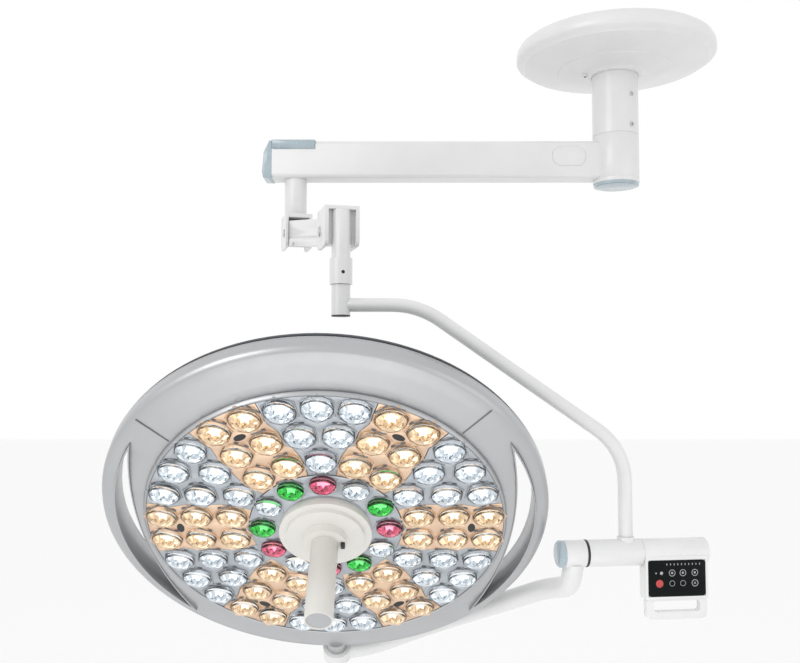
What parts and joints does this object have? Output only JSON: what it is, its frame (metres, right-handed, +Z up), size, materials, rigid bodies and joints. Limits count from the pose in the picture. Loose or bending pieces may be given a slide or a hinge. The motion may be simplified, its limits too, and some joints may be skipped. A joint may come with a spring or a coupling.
{
  "type": "ceiling operating light",
  "caption": "Round LED operating light on a ceiling tube, with an extension arm, sprung arm, bent arm and quarter yoke.",
  "frame": {"origin": "centre of the ceiling plate's top face, on the drop tube's axis", "axes": "+Z up to the ceiling, +X away from the arm's free end at rest, +Y away from the side that the lamp face looks at"},
  "size_m": [1.1716, 1.0117, 1.2889],
  "materials": {
    "white_paint": "satin powder coat",
    "white_plastic": "smooth",
    "blue_grey_plastic": "smooth",
    "handle_plastic": "satin",
    "silver_paint": "metallic silver paint",
    "charcoal_plastic": "fine texture",
    "steel": "turned",
    "aluminium": "machined",
    "bronze": "plain bearing bronze",
    "black_plastic": "plain",
    "black_steel": "black oxide",
    "cable_rubber": "plain",
    "black_glass": "polished",
    "cool_reflector": "vacuum metallised",
    "warm_reflector": "vacuum metallised, amber",
    "clear_lens": "moulded, clear",
    "warm_lens": "moulded, amber",
    "green_lens": "moulded, tinted",
    "circuit_board": "solder mask",
    "led_phosphor": "plain"
  },
  "bodies": {
    "ceiling": {"ceiling_plate": "steel", "canopy_cover": "white_paint", "canopy_set_screw": "black_steel", "power_supply": "black_plastic", "terminal_block": "black_plastic", "drop_tube": "white_paint", "flange_bolts": "steel", "drop_tube_screws": "steel", "arm_axle": "steel", "arm_axle_circlip": "steel"},
    "extension_arm": {"extension_arm": "white_paint", "upper_bush": "bronze", "lower_bush": "bronze", "hub_bottom_cap": "blue_grey_plastic", "arm_end_cap": "blue_grey_plastic", "arm_top_cover": "blue_grey_plastic", "arm_side_panel": "white_paint", "arm_cable": "cable_rubber", "spindle_tube": "white_paint"},
    "spring_base": {"rear_knuckle": "white_paint", "spindle_nut": "steel", "rear_hinge_pin": "steel"},
    "spring_arm": {"spring_arm_body": "white_paint", "spring_arm_cover": "white_paint", "balance_spring": "steel", "spring_guide": "steel"},
    "levelling_rod": {"levelling_rod": "steel"},
    "front_knuckle": {"front_knuckle": "white_paint", "front_hinge_pin": "steel", "front_collar": "white_paint", "front_brake_screw": "black_steel"},
    "bent_arm": {"bent_arm_stem": "white_paint", "stem_end_plug": "black_plastic", "stem_circlip": "steel", "bent_tube": "white_paint", "hub_housing": "white_paint", "hub_axle": "steel"},
    "control_box": {"control_box": "white_plastic", "keypad_glass": "black_glass"},
    "yoke": {"yoke_rotor": "white_paint", "rotor_ring": "black_plastic", "rotor_end_cap": "blue_grey_plastic", "yoke_tube": "white_paint", "pivot_housing": "white_paint", "pivot_cap": "white_plastic"},
    "head": {"head_ring": "silver_paint", "head_rear_cover": "charcoal_plastic", "slot_liners": "silver_paint", "heat_sink": "aluminium", "led_board": "circuit_board", "led_chips": "led_phosphor", "cool_plates": "cool_reflector", "warm_plates": "warm_reflector", "cool_lenses": "clear_lens", "warm_lenses": "warm_lens", "centre_plate": "cool_reflector", "centre_lenses": "green_lens", "handle_mount": "handle_plastic"},
    "handle": {"handle_sleeve": "handle_plastic"},
    "latch": {"handle_latch": "black_plastic"}
  },
  "joints": [
    {"name": "arm_swivel", "type": "hinge", "parent": "ceiling", "child": "extension_arm", "pos_m": [0, 0, -0.26], "axis": [0, 0, 1], "range_deg": [-165, 165]},
    {"name": "spring_arm_swivel", "type": "hinge", "parent": "extension_arm", "child": "spring_base", "pos_m": [-0.72, 0, -0.36], "axis": [0, 0, 1], "range_deg": [-155, 155]},
    {"name": "spring_arm_lift", "type": "hinge", "parent": "spring_base", "child": "spring_arm", "pos_m": [-0.7134, -0.02515, -0.4414], "axis": [-0.9673, -0.2538, 0], "range_deg": [-38, 14]},
    {"name": "levelling_rod_pivot", "type": "hinge", "parent": "spring_base", "child": "levelling_rod", "pos_m": [-0.7134, -0.02515, -0.4279], "axis": [-0.9673, -0.2538, 0], "range_deg": [-38, 14]},
    {"name": "front_levelling", "type": "hinge", "parent": "spring_arm", "child": "front_knuckle", "pos_m": [-0.5951, -0.47608, -0.51524], "axis": [-0.9673, -0.2538, 0], "range_deg": [-14, 38]},
    {"name": "bent_arm_swivel", "type": "hinge", "parent": "front_knuckle", "child": "bent_arm", "pos_m": [-0.58368, -0.5196, -0.57524], "axis": [0, 0, 1], "range_deg": [-150, 150]},
    {"name": "yoke_rotation", "type": "hinge", "parent": "bent_arm", "child": "yoke", "pos_m": [-0.11918, -0.5196, -1.04624], "axis": [0.9919, 0.1271, 0], "range_deg": [-20, 95]},
    {"name": "head_swivel", "type": "hinge", "parent": "yoke", "child": "head", "pos_m": [-0.60168, -0.32582, -1.24468], "axis": [0, 0.66, -0.7513], "range_deg": [-40, 70]},
    {"name": "control_box_tilt", "type": "hinge", "parent": "bent_arm", "child": "control_box", "pos_m": [-0.11918, -0.5196, -1.04624], "axis": [0.9919, 0.1271, 0], "range_deg": [-35, 35]},
    {"name": "handle_pull", "type": "slide", "parent": "head", "child": "handle", "axis": [0, -0.7513, -0.66], "range_m": [0, 0.12]},
    {"name": "latch_press", "type": "slide", "parent": "head", "child": "latch", "axis": [0, 0.7513, 0.66], "range_m": [0, 0.003], "stiffness_N_per_m": 400}
  ],
  "couplings": [
    {"joint": "levelling_rod_pivot", "follows": "spring_arm_lift", "ratio": 1},
    {"joint": "front_levelling", "follows": "spring_arm_lift", "ratio": -1}
  ]
}
